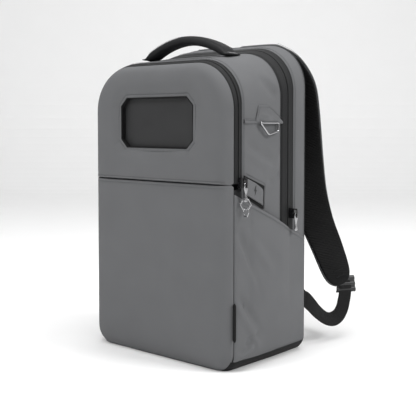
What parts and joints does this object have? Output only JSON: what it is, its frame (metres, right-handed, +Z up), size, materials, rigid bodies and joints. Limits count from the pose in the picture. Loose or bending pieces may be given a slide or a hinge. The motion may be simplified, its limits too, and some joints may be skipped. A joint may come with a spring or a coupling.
{
  "type": "solar backpack",
  "caption": "Box-shaped commuter backpack with a window in its front flap for a solar power bank, two zipped compartments, side pockets, grab handle and padded straps.",
  "frame": {"origin": "centre of the flat base, on the floor", "axes": "+Z up, -Y towards the front panel, +X towards the side with the charging port"},
  "size_m": [0.3568, 0.3401, 0.5296],
  "materials": {
    "grey_cloth": "matte twill",
    "charcoal_cloth": "matte twill",
    "black_cloth": "matte coated",
    "black_webbing": "ribbed",
    "black_mesh": "spacer mesh",
    "solar_laminate": "textured",
    "black_plastic": "moulded",
    "stiffener_sheet": "satin",
    "nickel": "polished",
    "black_enamel": "gloss",
    "cell_foil": "foil",
    "circuit_board": "solder mask"
  },
  "bodies": {
    "bag": {"base_panel": "black_cloth", "side_panel_right": "grey_cloth", "side_panel_left": "grey_cloth", "rear_gusset": "grey_cloth", "main_zip_tape_rear": "charcoal_cloth", "main_zip_tape_lower": "charcoal_cloth", "back_panel": "black_cloth", "frame_sheet": "stiffener_sheet", "laptop_divider": "charcoal_cloth", "back_pad_right": "black_mesh", "back_pad_left": "black_mesh", "lumbar_pad": "black_mesh", "front_lower_panel": "grey_cloth", "front_gusset_lower": "charcoal_cloth", "lower_divider": "charcoal_cloth", "side_pocket_right": "grey_cloth", "side_pocket_left": "grey_cloth", "pocket_hem_right": "charcoal_cloth", "pocket_hem_left": "charcoal_cloth", "seam_tab": "black_webbing", "strap_yoke": "charcoal_cloth", "webbing_anchor_right": "black_webbing", "webbing_anchor_left": "black_webbing", "lower_webbing_right": "black_webbing", "lower_webbing_left": "black_webbing", "usb_port": "black_plastic"},
    "main_lid": {"upper_gusset": "grey_cloth", "lid_divider": "charcoal_cloth", "main_zip_tape_front": "charcoal_cloth", "front_zip_tape_rear": "charcoal_cloth", "d_ring_tab": "grey_cloth", "handle_anchor_right": "black_webbing", "handle_anchor_left": "black_webbing"},
    "front_flap": {"front_flap_panel": "grey_cloth", "front_zip_tape_front": "charcoal_cloth", "window_frame": "grey_cloth", "solar_panel": "solar_laminate", "power_bank_case": "black_plastic", "battery_cell": "cell_foil", "charge_board": "circuit_board"},
    "grab_handle": {"grab_handle": "black_mesh"},
    "d_ring": {"d_ring": "nickel"},
    "front_zip_slider": {"front_zip_slider": "black_enamel"},
    "front_zip_pull": {"front_zip_pull": "nickel"},
    "front_rings": {"pull_ring": "nickel", "lock_ring": "nickel"},
    "main_zip_slider": {"main_zip_slider": "black_enamel"},
    "main_zip_pull": {"main_zip_pull": "nickel"},
    "port_flap": {"port_flap": "grey_cloth"},
    "strap_right": {"shoulder_strap_right": "grey_cloth", "strap_mesh_right": "black_mesh", "ladder_lock_right": "black_plastic", "strap_webbing_right": "black_webbing"},
    "strap_left": {"shoulder_strap_left": "grey_cloth", "strap_mesh_left": "black_mesh", "ladder_lock_left": "black_plastic", "strap_webbing_left": "black_webbing"}
  },
  "joints": [
    {"name": "main_lid_hinge", "type": "hinge", "parent": "bag", "child": "main_lid", "pos_m": [0, -0.1115, 0.291], "axis": [1, 0, 0], "range_deg": [0, 60]},
    {"name": "front_flap_hinge", "type": "hinge", "parent": "main_lid", "child": "front_flap", "pos_m": [0, -0.1115, 0.291], "axis": [1, 0, 0], "range_deg": [0, 90]},
    {"name": "handle_hinge", "type": "hinge", "parent": "main_lid", "child": "grab_handle", "pos_m": [0, -0.027, 0.51258], "axis": [1, 0, 0], "range_deg": [-35, 35], "stiffness_Nm_per_rad": 0.1},
    {"name": "d_ring_hinge", "type": "hinge", "parent": "main_lid", "child": "d_ring", "pos_m": [0.15904, -0.016, 0.385], "axis": [0, -1, 0], "range_deg": [0, 90]},
    {"name": "front_zip_slide", "type": "slide", "parent": "main_lid", "child": "front_zip_slider", "axis": [0, 0, 1], "range_m": [0, 0.11]},
    {"name": "front_pull_hinge", "type": "hinge", "parent": "front_zip_slider", "child": "front_zip_pull", "pos_m": [0.16241, -0.081, 0.294], "axis": [0, -1, 0], "range_deg": [0, 140]},
    {"name": "pull_ring_hinge", "type": "hinge", "parent": "front_zip_pull", "child": "front_rings", "pos_m": [0.16241, -0.081, 0.2691], "axis": [-0.5592, -0.829, 0], "range_deg": [0, 25]},
    {"name": "main_zip_slide", "type": "slide", "parent": "bag", "child": "main_zip_slider", "axis": [0, 0, 1], "range_m": [0, 0.16]},
    {"name": "main_pull_hinge", "type": "hinge", "parent": "main_zip_slider", "child": "main_zip_pull", "pos_m": [0.1668, 0.046, 0.238], "axis": [0, -1, 0], "range_deg": [0, 140]},
    {"name": "port_flap_hinge", "type": "hinge", "parent": "bag", "child": "port_flap", "pos_m": [0.1541, -0.072, 0.302], "axis": [0, -0.9312, 0.3644], "range_deg": [0, 60]},
    {"name": "strap_right_hinge", "type": "hinge", "parent": "bag", "child": "strap_right", "pos_m": [0.054, 0.0925, 0.515], "axis": [1, 0, 0], "range_deg": [0, 12]},
    {"name": "strap_left_hinge", "type": "hinge", "parent": "bag", "child": "strap_left", "pos_m": [-0.054, 0.0925, 0.515], "axis": [1, 0, 0], "range_deg": [0, 12]}
  ]
}
